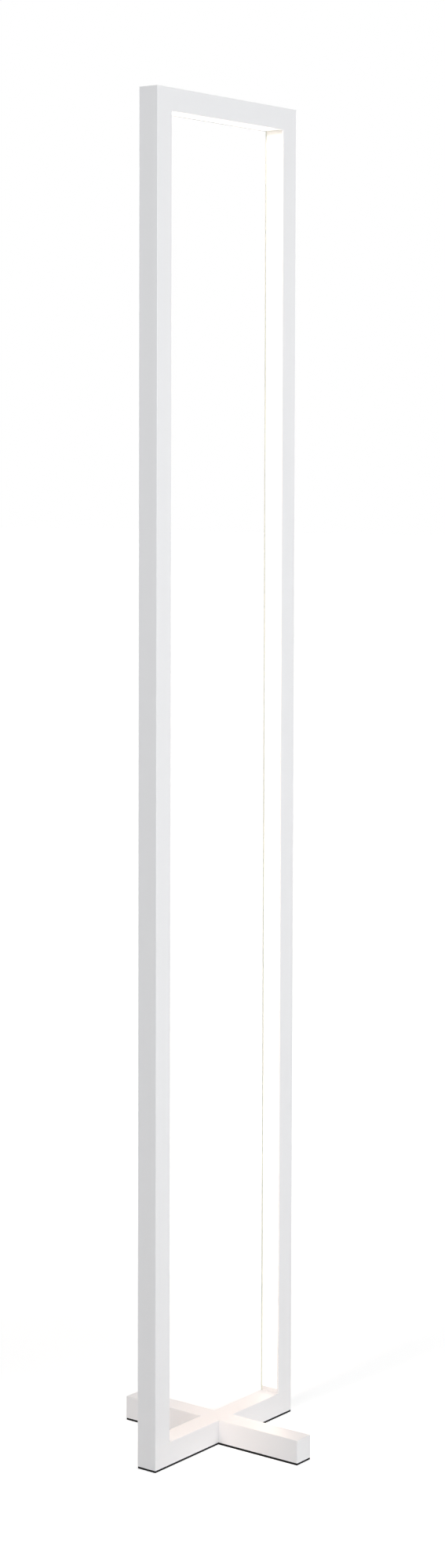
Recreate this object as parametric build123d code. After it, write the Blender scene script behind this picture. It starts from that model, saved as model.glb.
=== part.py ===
from build123d import *
import os

os.makedirs("parts", exist_ok=True)

# LED floor lamp: a slim upright rectangle of channel profile, lit on its inner faces, on a flat cross.
# Millimetres, +Z up. The origin is on the floor under the middle of the cross.
# X runs across the frame, and the front of the lamp faces -Y.

# Overall sizes
overall_height = 1190.0  # floor to the top of the frame
frame_width = 200.0  # over both uprights
cross_length = 192.0  # cross bar, front to back
bar_size = 20.0  # outside of the square profile, and width of the base bars
base_height = 20.0  # height of the base bars
edge_radius = 0.6  # outside edges
fit_clearance = 0.15  # each side of a block inside the profile
contact_gap = 0.05  # round pieces that lie on or in one another

# Channel profile of the uprights and the top rail, with depths taken from its outer face
side_wall = 1.5
outer_wall = 1.5
shelf_depth = 10.0  # back of the shelf that carries the LED board
shelf_thickness = 1.2
groove_inset = 4.0  # mouth to the middle of the diffuser's snap groove
groove_width = 1.6
groove_depth = 0.4

# Opal diffusers, snapped into the mouth
diffuser_thickness = 1.5
diffuser_recess = 0.3  # set back from the mouth
diffuser_clearance = 0.1
clip_thickness = 1.0
mitre_gap = 0.2  # from each diffuser's end to the mitre

# LED boards and LEDs
board_width = 10.0
board_thickness = 1.0
board_end_gap = 3.0
led_pitch = 8.0
led_length = 3.5
led_width = 2.8
led_height = 0.7
led_end_margin = 14.0

# Corner keys and foot blocks
key_leg = 36.0
key_screw_inset = 9.0  # end of a leg to its grub screw
foot_plate = 4.0
foot_stem = 28.0
foot_screw_height = 20.0

# Grub screws
grub_radius = 2.0
grub_sink = 0.85  # socket end below the face of the key
grub_socket = 2.0  # hexagon, across flats
grub_socket_depth = 2.0
key_hole_radius = 1.6  # hole in the shelf that the hexagon key goes through

# Countersunk bolts and screws
bolt_radius = 2.0
bolt_head_radius = 4.0
bolt_socket = 2.5
bolt_socket_depth = 1.8
bolt_spacing = 10.0  # two frame bolts in each foot
bolt_engagement = 12.0  # thread in the foot block
lap_spacing = 10.0
lap_engagement = 6.0  # thread in the rail
thread_end_room = 1.5
screw_clearance = 0.2

# Halved joint of the base bars
lap_depth = 10.0  # height of the notch in the underside of the rail
lap_clearance = 0.02

# Rubber pads under the base bars
pad_thickness = 2.0
pad_inset = 0.25
pad_hole_margin = 0.8

# Terminal pocket in the underside of the rail
pocket_start = 22.0
pocket_width = 13.0
pocket_depth = 14.0
gland_room = 17.0  # pocket's start to the terminal block
wire_room = 15.0  # terminal block to the pocket's end
cover_width = 16.0
cover_thickness = 1.2
cover_overlap = 8.0  # past each end of the pocket
cover_screw_radius = 1.25
cover_screw_head_radius = 2.3
cover_screw_length = 5.0
cover_screw_socket = 1.5
cover_screw_offset = 5.0

# Terminal block
terminal_length = 14.0
terminal_width = 11.0
terminal_height = 9.0
pole_pitch = 5.0
entry_radius = 1.2
entry_depth = 4.5
terminal_screw_radius = 1.3
terminal_screw_inset = 3.5
terminal_screw_sink = 0.4
screw_slot_width = 0.5
screw_slot_depth = 0.6

# Cable gland in the back of the rail
gland_bore_radius = 2.6  # for a 5 mm cord
gland_body_radius = 3.75
gland_flange_radius = 5.5
gland_flange_thickness = 2.0
gland_flange_round = 0.8
gland_tail = 1.0  # body past the nut
gland_nut_size = 9.5  # across flats
gland_nut_thickness = 2.5

# Wires and solder
wire_radius = 0.65
wire_spacing = 0.3  # between the two wires of a pair
wire_lane = 4.0  # middle of the wire slot, towards the back
wire_slot_depth = 4.0
wire_slot_margin = 0.25
wire_bend = 2.0
wire_lead = 3.0  # straight stretch before a bend
wire_slant = 9.0  # rise from the foot plate to the board
jumper_bend = 5.0
solder_offset = 3.2  # each side of the board's middle
solder_run = 6.0  # wire lying on the board
solder_radius = 1.3
solder_length = 2.2

# Levels and places worked out from the sizes above
top_edge_radius = 0.8 * edge_radius  # on the base bars, inside the rounding of their corners
base_top = pad_thickness + base_height
lap_level = pad_thickness + lap_depth
inner_width = bar_size - 2 * side_wall
shelf_face = shelf_depth + shelf_thickness
board_face = shelf_face + board_thickness
diffuser_back = bar_size - diffuser_recess - diffuser_thickness
foot_wire_depth = (board_face + diffuser_back) / 2  # wires come up in the middle of the light chamber
groove_middle = bar_size - groove_inset
insert_near = outer_wall + fit_clearance
insert_far = shelf_depth - fit_clearance
insert_width = inner_width - 2 * fit_clearance
insert_middle = (insert_near + insert_far) / 2
insert_y = (-insert_width / 2, insert_width / 2)
key_end = insert_near + key_leg
key_screw_reach = key_end - key_screw_inset
grub_length = insert_far - grub_sink - outer_wall
board_bottom = base_top + foot_plate + board_end_gap
board_reach = board_face + board_end_gap
board_top = overall_height - board_reach
half_top_board = frame_width / 2 - board_reach
terminal_start = pocket_start + gland_room
terminal_end = terminal_start + terminal_length
pocket_end = terminal_end + wire_room
pocket_roof = pad_thickness + pocket_depth
cover_start = pocket_start - cover_overlap
cover_end = pocket_end + cover_overlap
cover_screw_places = [
    (cover_start + cover_overlap / 2, -cover_screw_offset),
    (cover_end - cover_overlap / 2, -cover_screw_offset),
]
entry_level = pocket_roof - terminal_height / 2
gland_x = pocket_start + gland_room / 2
gland_z = pad_thickness + (cover_thickness + pocket_depth) / 2  # midway between cover and roof
gland_wall = (bar_size - pocket_width) / 2
wire_step = wire_radius + wire_spacing / 2
wire_slot_width = 2 * (wire_step + wire_radius + wire_slot_margin)
wire_level = pad_thickness + wire_slot_depth - wire_radius - contact_gap
wire_on_board = board_face + wire_radius + contact_gap
riser_x = frame_width / 2 - foot_wire_depth
feed_bend_level = base_top + foot_plate + wire_lead
feed_board_level = feed_bend_level + wire_slant
feed_end = feed_board_level + solder_run
jumper_end = wire_on_board + jumper_bend + solder_run
bolt_places = [
    (side * (frame_width / 2 - insert_middle), row * bolt_spacing / 2) for side in (-1, 1) for row in (-1, 1)
]
lap_places = [(side * lap_spacing / 2, 0) for side in (-1, 1)]

# Planes of the members: local Y is the depth from the outer face, local Z runs along the member
left_frame = Plane(origin=(-frame_width / 2, 0, 0), x_dir=(0, -1, 0), z_dir=(0, 0, 1))
top_frame = Plane(origin=(0, 0, overall_height), x_dir=(0, -1, 0), z_dir=(1, 0, 0))
left_mitre = Plane(origin=(-frame_width / 2, 0, overall_height), x_dir=(0, 1, 0), z_dir=(1, 0, 1))
right_mitre = Plane(origin=(frame_width / 2, 0, overall_height), x_dir=(0, 1, 0), z_dir=(-1, 0, 1))

# The right side of the frame is the left side turned round by half a turn
half_turn = Rot(0, 0, 180)
from_below = (Align.CENTER, Align.CENTER, Align.MIN)


def left_x(depth):
    """X at a depth from the outer face of the left upright."""
    return depth - frame_width / 2


def top_z(depth):
    """Z at a depth from the outer face of the top rail."""
    return overall_height - depth


def block(x_limits, y_limits, z_limits):
    """Box between two limits on each axis."""
    limits = (x_limits, y_limits, z_limits)
    middle = [(low + high) / 2 for low, high in limits]
    size = [high - low for low, high in limits]
    return Pos(*middle) * Box(*size)


def rod(radius, start, direction, length):
    """Cylinder from a point along a direction."""
    return extrude(Plane(origin=start, z_dir=direction) * Circle(radius), amount=length)


def strip(width, low, high):
    """Section rectangle across the middle of the profile, between two depths."""
    return Pos(0, (low + high) / 2) * Rectangle(width, high - low)


def along(frame, section, start, end):
    """Section run along a member between two places on it."""
    return extrude(frame.offset(start) * section, amount=end - start)


def under_left_mitre(part, gap=0):
    return split(part, bisect_by=left_mitre.offset(-gap), keep=Keep.BOTTOM)


def between_mitres(part, gap=0):
    part = split(part, bisect_by=left_mitre.offset(gap), keep=Keep.TOP)
    return split(part, bisect_by=right_mitre.offset(gap), keep=Keep.TOP)


def countersunk_screw(radius, head_radius, length, socket, socket_depth):
    """Screw pointing up, with the flat of its head at the origin."""
    head = Cone(head_radius, radius, head_radius - radius, align=from_below)
    screw = head + Cylinder(radius, length, align=from_below)
    hexagon = RegularPolygon(socket / 2, 6, major_radius=False)
    return screw - extrude(hexagon, amount=socket_depth)


def countersunk_hole(radius, head_radius, depth):
    """Room for a countersunk screw, with its mouth at the origin."""
    head = Cone(head_radius + screw_clearance, radius + screw_clearance, head_radius - radius, align=from_below)
    return head + Cylinder(radius + screw_clearance, depth, align=from_below)


def tapped_hole(radius, depth):
    return Cylinder(radius + contact_gap, depth, align=from_below)


def wire(points, bend):
    """Round wire along straight runs joined by arcs."""
    path = FilletPolyline(*points, radius=bend)
    section = Plane(origin=path @ 0, z_dir=path % 0) * Circle(wire_radius)
    return sweep(section, path=path)


# Frame profile


def profile_section():
    section = Pos(0, bar_size / 2) * RectangleRounded(bar_size, bar_size, edge_radius)
    section -= strip(inner_width, outer_wall, shelf_depth)
    section -= strip(inner_width, shelf_face, bar_size + side_wall)
    groove = strip(
        inner_width + 2 * groove_depth,
        groove_middle - groove_width / 2,
        groove_middle + groove_width / 2,
    )
    return section - groove


def make_left_upright():
    upright = under_left_mitre(along(left_frame, profile_section(), base_top, overall_height))
    notch = block(
        (left_x(insert_far), left_x(shelf_face + fit_clearance)),
        (-inner_width / 2, inner_width / 2),
        (base_top, base_top + foot_plate + fit_clearance),
    )
    upright -= notch
    for level in (base_top + foot_screw_height, top_z(key_screw_reach)):
        upright -= rod(key_hole_radius, (left_x(insert_far), 0, level), (1, 0, 0), board_face - insert_far)
    return upright


def make_top_rail():
    half = frame_width / 2
    rail = between_mitres(along(top_frame, profile_section(), -half, half))
    for x in (left_x(key_screw_reach), -left_x(key_screw_reach)):
        rail -= rod(key_hole_radius, (x, 0, top_z(board_face)), (0, 0, 1), board_face - insert_far)
    return rail


# Corner keys, foot blocks and their grub screws


def make_left_corner_key():
    upright_leg = block((left_x(insert_near), left_x(insert_far)), insert_y, (top_z(key_end), top_z(insert_near)))
    rail_leg = block((left_x(insert_near), left_x(key_end)), insert_y, (top_z(insert_far), top_z(insert_near)))
    thickness = insert_far - insert_near
    hole_radius = grub_radius + contact_gap
    key = upright_leg + rail_leg
    key -= rod(hole_radius, (left_x(insert_near), 0, top_z(key_screw_reach)), (1, 0, 0), thickness)
    key -= rod(hole_radius, (left_x(key_screw_reach), 0, top_z(insert_near)), (0, 0, -1), thickness)
    return key


def make_left_foot_block():
    plate = block(
        (left_x(insert_near), left_x(bar_size - diffuser_recess)),
        insert_y,
        (base_top, base_top + foot_plate),
    )
    stem = block((left_x(insert_near), left_x(insert_far)), insert_y, (base_top, base_top + foot_stem))
    foot = plate + stem
    screw_start = (left_x(insert_near), 0, base_top + foot_screw_height)
    foot -= rod(grub_radius + contact_gap, screw_start, (1, 0, 0), insert_far - insert_near)
    for row in (-1, 1):
        place = Pos(left_x(insert_middle), row * bolt_spacing / 2, base_top)
        foot -= place * tapped_hole(bolt_radius, bolt_engagement + thread_end_room)
    wire_hole = (left_x(foot_wire_depth), -wire_lane, base_top)
    return foot - rod(wire_slot_width / 2, wire_hole, (0, 0, 1), foot_plate)


def grub_screw(tip, direction):
    """Grub screw with its tip on the inside of the profile's outer wall."""
    hexagon = RegularPolygon(grub_socket / 2, 6, major_radius=False)
    screw = Cylinder(grub_radius, grub_length, align=from_below)
    screw -= Pos(0, 0, grub_length - grub_socket_depth) * extrude(hexagon, amount=grub_socket_depth)
    return Plane(origin=tip, z_dir=direction) * screw


def make_grub_screws():
    left_screws = [
        grub_screw((left_x(outer_wall), 0, base_top + foot_screw_height), (1, 0, 0)),
        grub_screw((left_x(outer_wall), 0, top_z(key_screw_reach)), (1, 0, 0)),
        grub_screw((left_x(key_screw_reach), 0, top_z(outer_wall)), (0, 0, -1)),
    ]
    return Compound(left_screws + [half_turn * screw for screw in left_screws])


# LED boards, LEDs and diffusers


def led_board(frame, start, end):
    return along(frame, strip(board_width, shelf_face, board_face), start, end)


def led_row(frame, start, end):
    """LEDs at an even pitch along a board, in the middle of its length."""
    count = int((end - start - 2 * led_end_margin) // led_pitch) + 1
    first = (start + end - (count - 1) * led_pitch) / 2
    section = strip(led_width, board_face, board_face + led_height)
    middles = [first + number * led_pitch for number in range(count)]
    leds = [along(frame, section, middle - led_length / 2, middle + led_length / 2) for middle in middles]
    return Compound(leds)


def diffuser_section():
    """Flat face with two legs whose barbs sit in the profile's grooves."""
    width = inner_width - 2 * diffuser_clearance
    front = bar_size - diffuser_recess
    leg_foot = groove_middle - groove_width / 2
    section = strip(width, leg_foot, front)
    section -= strip(width - 2 * clip_thickness, leg_foot, front - diffuser_thickness)
    barb = strip(
        width + 2 * groove_depth,
        leg_foot + diffuser_clearance,
        groove_middle + groove_width / 2 - diffuser_clearance,
    )
    barb -= strip(width - clip_thickness, leg_foot, front)
    return section + barb


def make_left_diffuser():
    start = base_top + foot_plate + diffuser_clearance
    return under_left_mitre(along(left_frame, diffuser_section(), start, overall_height), mitre_gap)


def make_top_diffuser():
    half = frame_width / 2
    return between_mitres(along(top_frame, diffuser_section(), -half, half), mitre_gap)


# Wires and solder joints


def make_left_corner_jumper():
    x = left_x(wire_on_board)
    z = top_z(wire_on_board)
    wires = []
    for y in (-solder_offset, solder_offset):
        route = [(x, y, top_z(jumper_end)), (x, y, z), (left_x(jumper_end), y, z)]
        wires.append(wire(route, jumper_bend))
    return Compound(wires)


def make_feed_wires():
    """Pair from the terminal block along the slot in the rail, up the right foot and onto the board."""
    wires = []
    for side in (-1, 1):
        pole_y = side * pole_pitch / 2
        lane_y = wire_lane + side * wire_step
        route = [
            (terminal_end - entry_depth, pole_y, entry_level),
            (terminal_end + wire_lead, pole_y, entry_level),
            (pocket_end - wire_lead, lane_y, wire_level),
            (riser_x, lane_y, wire_level),
            (riser_x, lane_y, feed_bend_level),
            (-left_x(wire_on_board), side * solder_offset, feed_board_level),
            (-left_x(wire_on_board), side * solder_offset, feed_end),
        ]
        wires.append(wire(route, wire_bend))
    return Compound(wires)


def solder_pair(frame, start):
    """Two half round joints on a board, from a place along it."""
    joints = []
    for side in (-1, 1):
        dome = Pos(side * solder_offset, board_face) * Circle(solder_radius)
        dome -= strip(2 * (solder_offset + solder_radius), board_face - solder_radius, board_face)
        joints.append(along(frame, dome, start, start + solder_length))
    return joints


def make_solder_joints():
    joints = solder_pair(left_frame, top_z(jumper_end) - solder_length)
    joints += solder_pair(top_frame, left_x(jumper_end))
    joints += [half_turn * joint for joint in joints]
    joints += [half_turn * joint for joint in solder_pair(left_frame, feed_end)]
    return Compound(joints)


# Base bars


def make_base_cross():
    """Both base bars in one, so that their top edges meet cleanly before they are parted."""
    outline = RectangleRounded(frame_width, bar_size, edge_radius)
    outline += RectangleRounded(bar_size, cross_length, edge_radius)
    square_cross = extrude(Pos(0, 0, pad_thickness) * outline, amount=base_height)
    top_edges = square_cross.faces().sort_by(Axis.Z)[-1].edges()
    cross = fillet(top_edges, top_edge_radius)
    seat_y = (-bar_size, bar_size)
    for side in (-1, 1):
        seat_x = sorted((side * (frame_width / 2 - bar_size), side * frame_width / 2))
        cross += square_cross & block(seat_x, seat_y, (pad_thickness, base_top))
    return cross


def make_base_rail(cross):
    half = bar_size / 2
    rail = cross
    for side in (-1, 1):
        arm_y = sorted((side * half, side * cross_length))
        rail -= block((-bar_size, bar_size), arm_y, (0, overall_height))
    rail -= block((-half - lap_clearance, half + lap_clearance), (-bar_size, bar_size), (0, lap_level))
    for x, y in bolt_places:
        rail -= Pos(x, y, pad_thickness) * countersunk_hole(bolt_radius, bolt_head_radius, base_height)
    for x, y in lap_places:
        rail -= Pos(x, y, lap_level) * tapped_hole(bolt_radius, lap_engagement + thread_end_room)

    pocket_y = (-pocket_width / 2, pocket_width / 2)
    rail -= block((pocket_start, pocket_end), pocket_y, (pad_thickness, pocket_roof))
    cover_y = (-cover_width / 2, cover_width / 2)
    cover_z = (pad_thickness, pad_thickness + cover_thickness)
    rail -= block((cover_start, cover_end), cover_y, cover_z)
    for x, y in cover_screw_places:
        rail -= Pos(x, y, pad_thickness) * tapped_hole(cover_screw_radius, cover_screw_length + thread_end_room)

    gland_hole = (gland_x, pocket_width / 2, gland_z)
    rail -= rod(gland_body_radius + contact_gap, gland_hole, (0, 1, 0), gland_wall)
    slot_y = (wire_lane - wire_slot_width / 2, wire_lane + wire_slot_width / 2)
    rail -= block((pocket_end, riser_x), slot_y, (pad_thickness, pad_thickness + wire_slot_depth))
    riser = SlotCenterToCenter(wire_bend, wire_slot_width)
    riser_place = Pos(riser_x - wire_bend / 2, wire_lane, pad_thickness)
    return rail - riser_place * extrude(riser, amount=base_height)


def make_cross_bar(cross):
    half = bar_size / 2
    bar = cross
    for side in (-1, 1):
        rail_x = sorted((side * half, side * frame_width))
        bar -= block(rail_x, (-bar_size, bar_size), (0, overall_height))
    bar -= block((-bar_size, bar_size), (-half - lap_clearance, half + lap_clearance), (lap_level, overall_height))
    for x, y in lap_places:
        bar -= Pos(x, y, pad_thickness) * countersunk_hole(bolt_radius, bolt_head_radius, lap_depth)
    return bar


def make_frame_bolts():
    bolt = countersunk_screw(
        bolt_radius, bolt_head_radius, base_height + bolt_engagement, bolt_socket, bolt_socket_depth
    )
    return Compound([Pos(x, y, pad_thickness) * bolt for x, y in bolt_places])


def make_lap_screws():
    screw = countersunk_screw(
        bolt_radius, bolt_head_radius, lap_depth + lap_engagement, bolt_socket, bolt_socket_depth
    )
    return Compound([Pos(x, y, pad_thickness) * screw for x, y in lap_places])


# Pads


def make_rail_pad(side):
    inner_end = bar_size / 2 + lap_clearance + pad_inset
    outer_end = frame_width / 2 - pad_inset
    outline = RectangleRounded(outer_end - inner_end, bar_size - 2 * pad_inset, edge_radius)
    return extrude(Pos(side * (inner_end + outer_end) / 2, 0, 0) * outline, amount=pad_thickness)


def make_cross_pad():
    outline = RectangleRounded(bar_size - 2 * pad_inset, cross_length - 2 * pad_inset, edge_radius)
    for x, y in lap_places:
        outline -= Pos(x, y) * Circle(bolt_head_radius + pad_hole_margin)
    return extrude(outline, amount=pad_thickness)


# Terminal block, its cover and the cable gland


def make_terminal_block():
    housing = block(
        (terminal_start, terminal_end),
        (-terminal_width / 2, terminal_width / 2),
        (pocket_roof - terminal_height, pocket_roof),
    )
    for side in (-1, 1):
        entry = (terminal_start, side * pole_pitch / 2, entry_level)
        housing -= rod(entry_radius, entry, (1, 0, 0), terminal_length)
    for x, y in terminal_screw_places():
        screw_hole = (x, y, pocket_roof - terminal_height)
        housing -= rod(terminal_screw_radius + contact_gap, screw_hole, (0, 0, 1), terminal_height / 2)
    return housing


def terminal_screw_places():
    ends = (terminal_start + terminal_screw_inset, terminal_end - terminal_screw_inset)
    return [(x, side * pole_pitch / 2) for x in ends for side in (-1, 1)]


def make_terminal_screws():
    """Slotted screws that reach up to the wires."""
    head = pocket_roof - terminal_height + terminal_screw_sink
    length = entry_level - wire_radius - contact_gap - head
    screw = Cylinder(terminal_screw_radius, length, align=from_below)
    screw -= Box(2 * terminal_screw_radius, screw_slot_width, screw_slot_depth, align=from_below)
    return Compound([Pos(x, y, head) * screw for x, y in terminal_screw_places()])


def make_terminal_cover():
    cover = block(
        (cover_start + fit_clearance, cover_end - fit_clearance),
        (fit_clearance - cover_width / 2, cover_width / 2 - fit_clearance),
        (pad_thickness, pad_thickness + cover_thickness),
    )
    for x, y in cover_screw_places:
        hole = countersunk_hole(cover_screw_radius, cover_screw_head_radius, cover_thickness)
        cover -= Pos(x, y, pad_thickness) * hole
    return cover


def make_cover_screws():
    screw = countersunk_screw(
        cover_screw_radius,
        cover_screw_head_radius,
        cover_screw_length,
        cover_screw_socket,
        cover_thickness,
    )
    return Compound([Pos(x, y, pad_thickness) * screw for x, y in cover_screw_places])


def make_cable_gland():
    back = bar_size / 2
    body_length = gland_wall + gland_nut_thickness + gland_tail
    flange = rod(gland_flange_radius, (gland_x, back, gland_z), (0, 1, 0), gland_flange_thickness)
    rim = flange.edges().sort_by(Axis.Y)[-1]
    gland = fillet(rim, gland_flange_round)
    gland += rod(gland_body_radius, (gland_x, back, gland_z), (0, -1, 0), body_length)
    bore_start = (gland_x, back - body_length, gland_z)
    return gland - rod(gland_bore_radius, bore_start, (0, 1, 0), body_length + gland_flange_thickness)


def make_gland_nut():
    nut_face = Plane(origin=(gland_x, pocket_width / 2, gland_z), x_dir=(1, 0, 0), z_dir=(0, -1, 0))
    section = RegularPolygon(gland_nut_size / 2, 6, major_radius=False)
    section -= Circle(gland_body_radius + contact_gap)
    return extrude(nut_face * section, amount=gland_nut_thickness)


# Every piece by its name

base_cross = make_base_cross()
left_upright = make_left_upright()
left_corner_key = make_left_corner_key()
left_foot_block = make_left_foot_block()
left_led_board = led_board(left_frame, board_bottom, board_top)
left_leds = led_row(left_frame, board_bottom, board_top)
left_diffuser = make_left_diffuser()
left_corner_jumper = make_left_corner_jumper()

pieces = {
    "left_upright": left_upright,
    "right_upright": half_turn * left_upright,
    "top_rail": make_top_rail(),
    "left_corner_key": left_corner_key,
    "right_corner_key": half_turn * left_corner_key,
    "left_foot_block": left_foot_block,
    "right_foot_block": half_turn * left_foot_block,
    "grub_screws": make_grub_screws(),
    "left_led_board": left_led_board,
    "top_led_board": led_board(top_frame, -half_top_board, half_top_board),
    "right_led_board": half_turn * left_led_board,
    "left_leds": left_leds,
    "top_leds": led_row(top_frame, -half_top_board, half_top_board),
    "right_leds": half_turn * left_leds,
    "left_diffuser": left_diffuser,
    "top_diffuser": make_top_diffuser(),
    "right_diffuser": half_turn * left_diffuser,
    "left_corner_jumper": left_corner_jumper,
    "right_corner_jumper": half_turn * left_corner_jumper,
    "feed_wires": make_feed_wires(),
    "solder_joints": make_solder_joints(),
    "base_rail": make_base_rail(base_cross),
    "cross_bar": make_cross_bar(base_cross),
    "frame_bolts": make_frame_bolts(),
    "lap_screws": make_lap_screws(),
    "left_pad": make_rail_pad(-1),
    "right_pad": make_rail_pad(1),
    "cross_pad": make_cross_pad(),
    "terminal_block": make_terminal_block(),
    "terminal_screws": make_terminal_screws(),
    "terminal_cover": make_terminal_cover(),
    "cover_screws": make_cover_screws(),
    "cable_gland": make_cable_gland(),
    "gland_nut": make_gland_nut(),
}

for name, piece in pieces.items():
    export_step(piece, f"parts/{name}.step")
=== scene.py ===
import math

import bmesh
import bpy
from mathutils import Matrix, Vector


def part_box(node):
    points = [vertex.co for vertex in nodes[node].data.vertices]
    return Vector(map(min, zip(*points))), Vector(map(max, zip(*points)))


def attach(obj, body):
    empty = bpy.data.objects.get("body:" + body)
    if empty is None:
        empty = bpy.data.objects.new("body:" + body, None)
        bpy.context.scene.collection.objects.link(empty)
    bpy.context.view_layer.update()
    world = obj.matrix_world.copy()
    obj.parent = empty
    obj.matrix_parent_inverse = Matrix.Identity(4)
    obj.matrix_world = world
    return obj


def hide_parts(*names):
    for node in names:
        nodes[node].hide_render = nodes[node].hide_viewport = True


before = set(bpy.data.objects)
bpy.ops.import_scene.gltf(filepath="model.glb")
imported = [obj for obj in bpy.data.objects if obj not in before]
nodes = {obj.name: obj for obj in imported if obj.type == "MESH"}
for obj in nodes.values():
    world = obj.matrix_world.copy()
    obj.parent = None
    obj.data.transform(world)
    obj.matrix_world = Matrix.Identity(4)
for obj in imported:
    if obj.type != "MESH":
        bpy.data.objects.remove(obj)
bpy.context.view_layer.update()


# Base rail and cross bar
# Two square steel bars halved into each other, so their tops lie flush.
# Screws from below hold them together, and both are powder coated white.
class Field:
    """A socket in a node tree. Arithmetic on it adds Math nodes, and node() adds any other node."""

    def __init__(self, tree, socket=None):
        self.tree = tree
        self.socket = socket

    def node(self, kind, settings=None, inputs=None, output=0):
        """Add a node: its settings first, then the values or links of its sockets."""
        made = self.tree.nodes.new(kind)
        for name, value in (settings or {}).items():
            setattr(made, name, value)
        for name, value in (inputs or {}).items():
            if isinstance(value, Field):
                self.tree.links.new(value.socket, made.inputs[name])
            else:
                made.inputs[name].default_value = value
        return Field(self.tree, made.outputs[output])

    def math(self, operation, other=None):
        inputs = {0: self} if other is None else {0: self, 1: other}
        return self.node("ShaderNodeMath", {"operation": operation}, inputs)

    def reflected(self, operation, other):
        return self.node("ShaderNodeMath", {"operation": operation}, {0: other, 1: self})

    def __add__(self, other):
        return self.math("ADD", other)

    def __radd__(self, other):
        return self.reflected("ADD", other)

    def __sub__(self, other):
        return self.math("SUBTRACT", other)

    def __rsub__(self, other):
        return self.reflected("SUBTRACT", other)

    def __mul__(self, other):
        return self.math("MULTIPLY", other)

    def __rmul__(self, other):
        return self.reflected("MULTIPLY", other)

    def __abs__(self):
        return self.math("ABSOLUTE")

    def between(self, low, high):
        """0 below low, 1 above high and a smooth rise between them."""
        settings = {"interpolation_type": "SMOOTHSTEP"}
        inputs = {"Value": self, "From Min": low, "From Max": high}
        return self.node("ShaderNodeMapRange", settings, inputs)


def new_material(name):
    """A new material, with its Principled shader and the Object coordinates of its piece."""
    material = bpy.data.materials.new(name)
    material.use_nodes = True
    tree = material.node_tree
    shader = tree.nodes["Principled BSDF"]
    place = Field(tree).node("ShaderNodeTexCoord", output="Object")
    return material, shader, place


def feed(shader, name, field):
    """Link a field to one of a shader's sockets."""
    field.tree.links.new(field.socket, shader.inputs[name])


def noise(place, scale, detail=2.0):
    inputs = {"Vector": place, "Scale": scale, "Detail": detail}
    return place.node("ShaderNodeTexNoise", None, inputs, "Fac")


mix_first_colour = 6
mix_second_colour = 7
mix_colour_result = 2


def blend_colours(factor, first, second):
    """Mix of two colours, each a field or its red, green and blue."""
    first, second = (side if isinstance(side, Field) else (*side, 1.0) for side in (first, second))
    inputs = {"Factor": factor, mix_first_colour: first, mix_second_colour: second}
    return factor.node("ShaderNodeMix", {"data_type": "RGBA"}, inputs, mix_colour_result)


def bump(height, strength, distance):
    inputs = {"Height": height, "Strength": strength, "Distance": distance}
    return height.node("ShaderNodeBump", None, inputs, "Normal")


def coat_with(material, *names):
    """Give CAD nodes a material in the slots that they already have."""
    for name in names:
        for slot in nodes[name].material_slots:
            slot.material = material


peel_scale = 1500.0
line_scale = 700.0
cloud_scale = 7.0
cloud_share = 0.5
peel_share = 0.2
line_share = 0.3
coat_roughness = 0.38
cloud_roughness = 0.1
peel_roughness = 0.06
line_roughness = 0.08
line_height = 0.5
gloss_roughness = 0.45


def powder_coat(name, pale, deep, drawn, painted_shade=None):
    """White powder coat: a fine orange peel, faint lines from drawing the bar and clouds of sheen."""
    material, shader, place = new_material(name)
    peel = noise(place, peel_scale)
    cloud = noise(place, cloud_scale, detail=3.0)
    stretched = place.node("ShaderNodeMapping", None, {"Vector": place, "Scale": drawn})
    lines = noise(stretched, line_scale)
    shade = cloud_share * cloud + peel_share * peel + line_share * lines
    colour = blend_colours(shade, pale, deep)
    # The optional function paints shade into the colour, such as the grey back lips of the profiles.
    if painted_shade:
        colour = painted_shade(place, colour)
    feed(shader, "Base Color", colour)
    roughness = coat_roughness + cloud_roughness * cloud + peel_roughness * peel + line_roughness * lines
    feed(shader, "Roughness", roughness)
    feed(shader, "Normal", bump(peel + line_height * lines, strength=0.12, distance=0.0001))
    shader.inputs["Coat Weight"].default_value = 1.0
    shader.inputs["Coat Roughness"].default_value = gloss_roughness
    return material


drawn_along_x = (0.01, 1.0, 1.0)
drawn_along_y = (1.0, 0.01, 1.0)
base_pale = (0.915, 0.918, 0.932)
base_deep = (0.885, 0.888, 0.902)
coat_with(powder_coat("rail powder coat", base_pale, base_deep, drawn_along_x), "base_rail")
coat_with(powder_coat("cross powder coat", base_pale, base_deep, drawn_along_y), "cross_bar")


# Pads
# Black rubber sheet, die cut a little smaller than the bars and stuck under them.
# The cut edges are slightly rounded, and holes leave the heads of the cross bar's screws free.
pad_round = 0.0003
pad_round_segments = 3
pad_rim_angle = math.radians(60)
screw_hole_radius = 0.0048
screw_hole_reach = 0.005
screw_hole_segments = 32
rubber_black = (0.006, 0.006, 0.007)
rubber_worn = (0.022, 0.022, 0.023)
rubber_grain_scale = 2200.0
rubber_dust_scale = 60.0
rubber_roughness = 0.75
dust_roughness = 0.2
rubber_gloss = 0.2
rubber, rubber_shader, rubber_place = new_material("pad rubber")
rubber_grain = noise(rubber_place, rubber_grain_scale, detail=3.0)
rubber_dust = noise(rubber_place, rubber_dust_scale, detail=4.0)
feed(rubber_shader, "Base Color", blend_colours(rubber_dust * rubber_grain, rubber_black, rubber_worn))
feed(rubber_shader, "Roughness", rubber_roughness + dust_roughness * rubber_dust)
feed(rubber_shader, "Normal", bump(rubber_grain, strength=0.4, distance=0.0002))
rubber_shader.inputs["Specular IOR Level"].default_value = rubber_gloss


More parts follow.
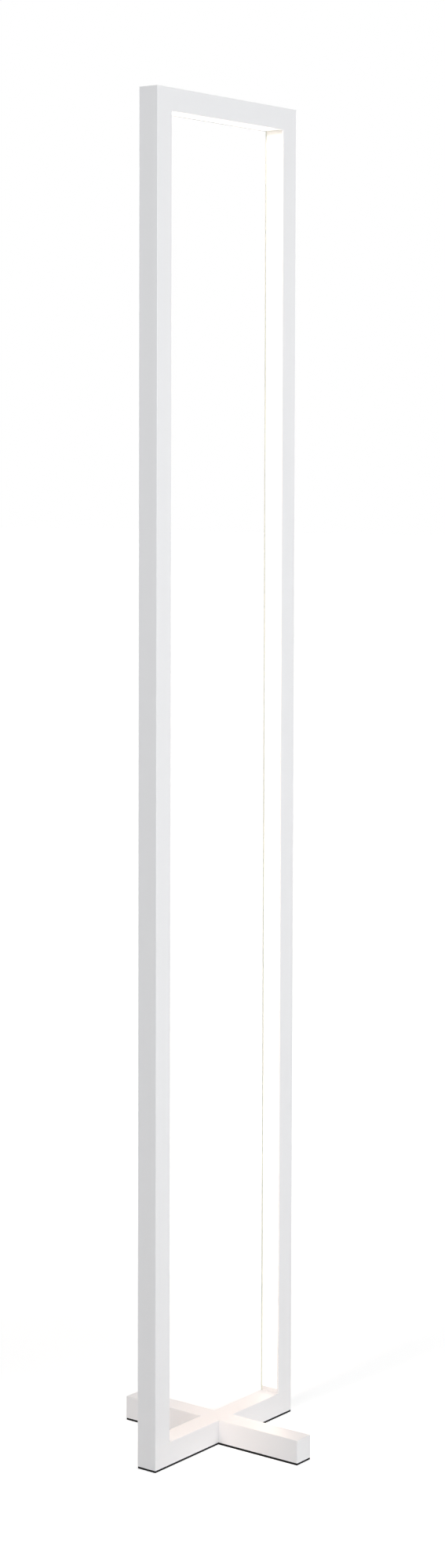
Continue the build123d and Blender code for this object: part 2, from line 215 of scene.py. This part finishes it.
def sheet_pad(node, hole_places=()):
    """A sheet as large as the node, with round holes in it and softened edges."""
    low, high = (Vector(corner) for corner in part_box(node))
    middle = (low + high) / 2
    shape = bmesh.new()
    bmesh.ops.create_grid(shape, x_segments=1, y_segments=1, size=0.5)
    bmesh.ops.delete(shape, geom=shape.faces[:], context="FACES_ONLY")
    bmesh.ops.scale(shape, vec=high - low, verts=shape.verts[:])
    bmesh.ops.translate(shape, vec=(middle.x, middle.y, low.z), verts=shape.verts[:])
    for x in hole_places:
        hole = Matrix.Translation((x, 0.0, low.z))
        bmesh.ops.create_circle(shape, segments=screw_hole_segments, radius=screw_hole_radius, matrix=hole)
    bmesh.ops.triangle_fill(shape, use_beauty=True, edges=shape.edges[:])
    raised = bmesh.ops.extrude_face_region(shape, geom=shape.faces[:])["geom"]
    raised_corners = [corner for corner in raised if isinstance(corner, bmesh.types.BMVert)]
    bmesh.ops.translate(shape, vec=(0.0, 0.0, high.z - low.z), verts=raised_corners)
    bmesh.ops.recalc_face_normals(shape, faces=shape.faces[:])
    rims = [edge for edge in shape.edges if edge.calc_face_angle() > pad_rim_angle]
    bmesh.ops.bevel(
        shape, geom=rims, offset=pad_round, affect="EDGES",
        segments=pad_round_segments, profile=0.5, material=-1,
    )
    mesh = bpy.data.meshes.new(node + "_sheet")
    shape.to_mesh(mesh)
    shape.free()
    mesh.materials.append(rubber)
    pad = bpy.data.objects.new(mesh.name, mesh)
    bpy.context.scene.collection.objects.link(pad)
    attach(pad, "root")
    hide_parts(node)


sheet_pad("left_pad")
sheet_pad("right_pad")
sheet_pad("cross_pad", (-screw_hole_reach, screw_hole_reach))


# Screws, corner keys and terminal cover
# Steel with a bright zinc plating, and grub screws with a black oxide skin.
# The screws are driven from below the base and from inside the profile.
sheen_scale = 90.0
sheen_roughness = 0.15


def metal_finish(name, pale, deep, roughness, grain_scale):
    """Small metal work with a fine grain and a little uneven sheen."""
    material, shader, place = new_material(name)
    grain = noise(place, grain_scale, detail=3.0)
    sheen = noise(place, sheen_scale)
    feed(shader, "Base Color", blend_colours(grain, pale, deep))
    feed(shader, "Roughness", roughness + sheen_roughness * sheen)
    feed(shader, "Normal", bump(grain, strength=0.15, distance=0.0001))
    shader.inputs["Metallic"].default_value = 1.0
    return material


zinc_pale = (0.66, 0.67, 0.69)
zinc_deep = (0.52, 0.53, 0.55)
oxide_pale = (0.09, 0.09, 0.1)
oxide_deep = (0.05, 0.05, 0.055)
zinc = metal_finish("zinc plating", zinc_pale, zinc_deep, roughness=0.28, grain_scale=900.0)
black_oxide = metal_finish("black oxide", oxide_pale, oxide_deep, roughness=0.4, grain_scale=1200.0)
coat_with(zinc, "frame_bolts", "lap_screws", "cover_screws", "terminal_cover")
coat_with(zinc, "left_corner_key", "right_corner_key")
coat_with(black_oxide, "grub_screws")


# Terminal block and cable gland
# White moulded nylon: a two pole block with brass screws in the rail's pocket,
# and a bush at the back of the rail for the cord, held by a nut inside.
spark_scale = 1800.0
flow_scale = 45.0
plastic_roughness = 0.45
spark_roughness = 0.12


def matt_plastic(name, pale, deep):
    """Plastic or silicone with a fine matt texture and slow clouds in its white."""
    material, shader, place = new_material(name)
    spark = noise(place, spark_scale)
    flow = noise(place, flow_scale, detail=3.0)
    feed(shader, "Base Color", blend_colours(flow, pale, deep))
    feed(shader, "Roughness", plastic_roughness + spark_roughness * spark)
    feed(shader, "Normal", bump(spark, strength=0.2, distance=0.0001))
    return material


nylon_pale = (0.84, 0.84, 0.83)
nylon_deep = (0.79, 0.79, 0.77)
brass_pale = (0.78, 0.6, 0.3)
brass_deep = (0.66, 0.48, 0.22)
nylon = matt_plastic("white nylon", nylon_pale, nylon_deep)
brass = metal_finish("brass", brass_pale, brass_deep, roughness=0.3, grain_scale=700.0)
coat_with(nylon, "terminal_block", "cable_gland", "gland_nut")
coat_with(brass, "terminal_screws")


# Uprights, top rail and foot blocks
# Aluminium channel profile mitred at the top corners, with the same white powder coat.
# The feet are closed by painted blocks that the frame bolts go into.
# The back lips of the mouths carry a painted shade, a grey line that is paler towards the feet.
window_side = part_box("right_upright")[0][0]
window_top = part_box("top_rail")[0][2]
lip_shade_depth = 0.0006
# Painted shade: the greys of the back lips, and the paler grey that they fade to at the feet.
side_lip_shade_grey = (0.55, 0.6, 0.545)
top_lip_shade_grey = (0.45, 0.465, 0.48)
foot_lip_shade_pale = (0.78, 0.81, 0.7)
foot_lip_shade_start = 0.04
foot_lip_shade_end = 0.12


def coordinates(place):
    """The X, Y and Z of a place, each as a field."""
    parted = place.node("ShaderNodeSeparateXYZ", None, {"Vector": place})
    return [Field(place.tree, output) for output in parted.socket.node.outputs]


def painted_lip_shade(lip_shade_grey):
    """Painted shade on the back lip of the profile's mouth: a grey line, paler towards the foot."""
    def paint_lip_shade(place, coat):
        across, towards_back, height = coordinates(place)
        depth = (abs(across) - window_side).math("MAXIMUM", height - window_top)
        lip = 1.0 - depth.between(lip_shade_depth / 2, lip_shade_depth)
        back = towards_back.math("GREATER_THAN", 0.0)
        lip_shade_colour = blend_colours(height.between(foot_lip_shade_start, foot_lip_shade_end), foot_lip_shade_pale, lip_shade_grey)
        return blend_colours(lip * back, coat, lip_shade_colour)
    return paint_lip_shade


drawn_along_z = (1.0, 1.0, 0.01)
cast = (1.0, 1.0, 1.0)
frame_pale = (0.915, 0.922, 0.938)
frame_deep = (0.885, 0.892, 0.908)
# The foot blocks' white is painted lighter than the frame's, as painted light for the strips' light on their
# plates.
painted_light_block_pale = (0.95, 0.945, 0.94)
painted_light_block_deep = (0.925, 0.92, 0.915)
# Painted shade for the back lips of the uprights and the top rail.
side_lip_shade = painted_lip_shade(side_lip_shade_grey)
top_lip_shade = painted_lip_shade(top_lip_shade_grey)
upright_coat_and_lip_shade = powder_coat("upright powder coat and painted lip shade", frame_pale, frame_deep, drawn_along_z, side_lip_shade)
top_coat_and_lip_shade = powder_coat("top rail powder coat and painted lip shade", frame_pale, frame_deep, drawn_along_x, top_lip_shade)
block_coat_with_painted_light = powder_coat("foot block paint with painted light", painted_light_block_pale, painted_light_block_deep, cast)
coat_with(upright_coat_and_lip_shade, "left_upright", "right_upright")
coat_with(top_coat_and_lip_shade, "top_rail")
coat_with(block_coat_with_painted_light, "left_foot_block", "right_foot_block")


# LED boards, LEDs and wiring
# White boards stuck along the shelf of each profile, with warm white LEDs at an even pitch,
# joined round the corners by soldered wires in white silicone.
mask_pale = (0.88, 0.88, 0.86)
mask_deep = (0.84, 0.84, 0.81)
mask_scale = 400.0
mask_roughness = 0.35
mottle_roughness = 0.1
board, board_shader, board_place = new_material("board solder mask")
mask_mottle = noise(board_place, mask_scale)
feed(board_shader, "Base Color", blend_colours(mask_mottle, mask_pale, mask_deep))
feed(board_shader, "Roughness", mask_roughness + mottle_roughness * mask_mottle)
coat_with(board, "left_led_board", "top_led_board", "right_led_board")

led_glow = 6.0
phosphor_pale = (0.95, 0.8, 0.4)
phosphor_deep = (0.9, 0.72, 0.3)
phosphor_scale = 2500.0
phosphor_roughness = 0.4
phosphor, phosphor_shader, phosphor_place = new_material("LED phosphor")
phosphor_grain = noise(phosphor_place, phosphor_scale)
phosphor_colour = blend_colours(phosphor_grain, phosphor_pale, phosphor_deep)
feed(phosphor_shader, "Base Color", phosphor_colour)
feed(phosphor_shader, "Emission Color", phosphor_colour)
phosphor_shader.inputs["Emission Strength"].default_value = led_glow
phosphor_shader.inputs["Roughness"].default_value = phosphor_roughness
coat_with(phosphor, "left_leds", "top_leds", "right_leds")

sheath_pale = (0.82, 0.82, 0.81)
sheath_deep = (0.76, 0.76, 0.75)
solder_pale = (0.75, 0.76, 0.77)
solder_deep = (0.6, 0.61, 0.62)
sheath = matt_plastic("wire sheath", sheath_pale, sheath_deep)
solder = metal_finish("solder", solder_pale, solder_deep, roughness=0.2, grain_scale=1500.0)
coat_with(sheath, "left_corner_jumper", "right_corner_jumper", "feed_wires")
coat_with(solder, "solder_joints")


# Diffusers
# Opal extrusions snapped into the mouth of each profile, flush with its lips.
# They glow warm white, a little less beside the corners, and throw less light near the feet.
diffuser_glow = 1.0
glow_warm = (0.8, 0.79, 0.77)
glow_end = (0.3, 0.3, 0.27)
corner_fade = 0.008
opal_pale = (0.52, 0.515, 0.5)
opal_deep = (0.48, 0.475, 0.46)
milk_scale = 260.0
opal_roughness = 0.4
milk_roughness = 0.1


def opal(name, corner_distance):
    """Opal plastic that glows, fading over the last few millimetres before a top corner."""
    material, shader, place = new_material(name)
    milk = noise(place, milk_scale)
    feed(shader, "Base Color", blend_colours(milk, opal_pale, opal_deep))
    feed(shader, "Roughness", opal_roughness + milk_roughness * milk)
    glow = corner_distance(place).between(0.0, corner_fade)
    feed(shader, "Emission Color", blend_colours(glow, glow_end, glow_warm))
    shader.inputs["Emission Strength"].default_value = diffuser_glow
    return material


def below_corner(place):
    height = coordinates(place)[2]
    return window_top - height


def beside_corner(place):
    across = coordinates(place)[0]
    return window_side - abs(across)


coat_with(opal("side opal", below_corner), "left_diffuser", "right_diffuser")
coat_with(opal("top opal", beside_corner), "top_diffuser")

strip_colour = (1.0, 0.744, 0.603)
strip_power = 29.3
foot_power = 6.9
strip_spread = math.radians(160)
strip_gap = 0.001
foot_gap = 0.004
foot_length = 0.046
foot_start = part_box("right_diffuser")[0][2] + foot_gap
foot_end = foot_start + foot_length
corner_dim = 0.01


def strip_lamp(diffuser, towards, start, end, power=strip_power):
    """The light that a stretch of a diffuser throws, from a lamp just in front of it.

    The power is in watts for each square metre of the stretch.
    """
    low, high = (Vector(corner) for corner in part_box(diffuser))
    width = high.y - low.y
    length = end - start
    along = Vector((1, 0, 0)) if towards.z else Vector((0, 0, 1))
    lamp = bpy.data.lights.new(diffuser + "_light", "AREA")
    lamp.shape = "RECTANGLE"
    lamp.size = length if towards.z else width
    lamp.size_y = width if towards.z else length
    lamp.energy = power * width * length
    lamp.color = strip_colour
    lamp.spread = strip_spread
    face = max(towards.dot(low), towards.dot(high))
    placed = bpy.data.objects.new(lamp.name, lamp)
    placed.location = (face + strip_gap) * towards + (start + end) / 2 * along
    placed.rotation_euler = (-towards).to_track_quat("Z", "Y").to_euler()
    bpy.context.scene.collection.objects.link(placed)


for diffuser, towards in (("left_diffuser", Vector((1, 0, 0))), ("right_diffuser", Vector((-1, 0, 0)))):
    strip_lamp(diffuser, towards, foot_start, foot_end, foot_power)
    strip_lamp(diffuser, towards, foot_end, window_top - corner_dim)
strip_lamp("top_diffuser", Vector((0, 0, -1)), corner_dim - window_side, window_side - corner_dim)


# Studio
# A pale floor and a white backdrop, with softboxes in front, at the left and above,
# and low fills behind and at the right. The camera stands where the photograph was
# taken from, at the left of the frame's front.
scene = bpy.context.scene
scene.view_settings.view_transform = "Standard"

floor_half = 30.0
floor_mesh = bpy.data.meshes.new("studio floor")
floor_shape = bmesh.new()
bmesh.ops.create_grid(floor_shape, x_segments=1, y_segments=1, size=floor_half)
floor_shape.to_mesh(floor_mesh)
floor_shape.free()
floor = bpy.data.objects.new("studio_floor", floor_mesh)
scene.collection.objects.link(floor)

floor_white = 0.9
near_lift = 0.54
far_lift = 0.82
lift_start = 0.25
lift_end = 1.0
floor_material, floor_shader, floor_place = new_material("studio floor")
floor_shader.inputs["Base Color"].default_value = (floor_white, floor_white, floor_white, 1.0)
floor_shader.inputs["Roughness"].default_value = 1.0
floor_shader.inputs["Specular IOR Level"].default_value = 0.0
floor_shader.inputs["Emission Strength"].default_value = 1.0
floor_mesh.materials.append(floor_material)


def seen_rays(tree):
    """1 for rays that show a surface, to the camera, in gloss or through glass, and 0 for its light."""
    start = Field(tree)
    camera_ray, glossy_ray, glass_ray = (
        start.node("ShaderNodeLightPath", output=name)
        for name in ("Is Camera Ray", "Is Glossy Ray", "Is Transmission Ray")
    )
    return camera_ray.math("MAXIMUM", glossy_ray).math("MAXIMUM", glass_ray)


distance = floor_place.node("ShaderNodeVectorMath", {"operation": "LENGTH"}, {0: floor_place}, "Value")
lift = near_lift + (far_lift - near_lift) * distance.between(lift_start, lift_end)
feed(floor_shader, "Emission Color", lift * seen_rays(floor_material.node_tree))

world_light = 0.212
world = bpy.data.worlds.new("studio")
scene.world = world
world.use_nodes = True
backdrop = world.node_tree.nodes["Background"]
backdrop.inputs["Color"].default_value = (1.0, 1.0, 1.0, 1.0)
feed(backdrop, "Strength", world_light + (1.0 - world_light) * seen_rays(world.node_tree))

frame_middle = Vector((0.0, 0.0, 0.6))
wide_box = 1.2
small_box = 0.35


def softbox(name, strength, place, size=wide_box):
    """A square soft lamp, aimed at the frame's middle. A strength of 1 shows a colour there as written."""
    back = Vector(place) - frame_middle
    lamp = bpy.data.lights.new(name, "AREA")
    lamp.size = size
    lamp.energy = strength * (math.pi * back.length) ** 2
    placed = bpy.data.objects.new(name, lamp)
    placed.location = place
    placed.rotation_euler = back.to_track_quat("Z", "Y").to_euler()
    scene.collection.objects.link(placed)


softbox("front_softbox", strength=0.483, place=(0.0, -2.0, 0.9))
softbox("left_softbox", strength=0.322, place=(-1.9, -0.3, 1.3))
softbox("top_softbox", strength=0.06, place=(0.0, 0.0, 1.55), size=small_box)

fill_angle = math.radians(25)
fill_rise = 0.03


def fill_light(name, strength, back):
    """A broad low light on a side that the softboxes leave dark, as strong as a softbox of that strength."""
    lamp = bpy.data.lights.new(name, "SUN")
    lamp.energy = strength * math.pi
    lamp.angle = fill_angle
    placed = bpy.data.objects.new(name, lamp)
    placed.rotation_euler = Vector(back).to_track_quat("Z", "Y").to_euler()
    scene.collection.objects.link(placed)


fill_light("back_fill", strength=0.4, back=(0.0, 1.0, fill_rise))
fill_light("right_fill", strength=0.3, back=(1.0, 0.0, fill_rise))

camera_place = (-1.93499, -1.47495, 0.86437)
camera_heading = math.radians(-52.7616)
camera_pitch = math.radians(-2.990)
camera_roll = math.radians(0.1618)
photo_height = 2000
focal_pixels = 3526.0
axis_row = 786.6
camera_data = bpy.data.cameras.new("camera")
camera_data.sensor_width = 36.0
camera_data.lens = focal_pixels * camera_data.sensor_width / photo_height
camera_data.shift_y = axis_row / photo_height - 0.5
camera = bpy.data.objects.new("camera", camera_data)
turn = Matrix.Rotation(camera_heading, 4, "Z") @ Matrix.Rotation(math.pi / 2 + camera_pitch, 4, "X")
camera.matrix_world = Matrix.Translation(camera_place) @ turn @ Matrix.Rotation(camera_roll, 4, "Z")
scene.collection.objects.link(camera)
scene.camera = camera
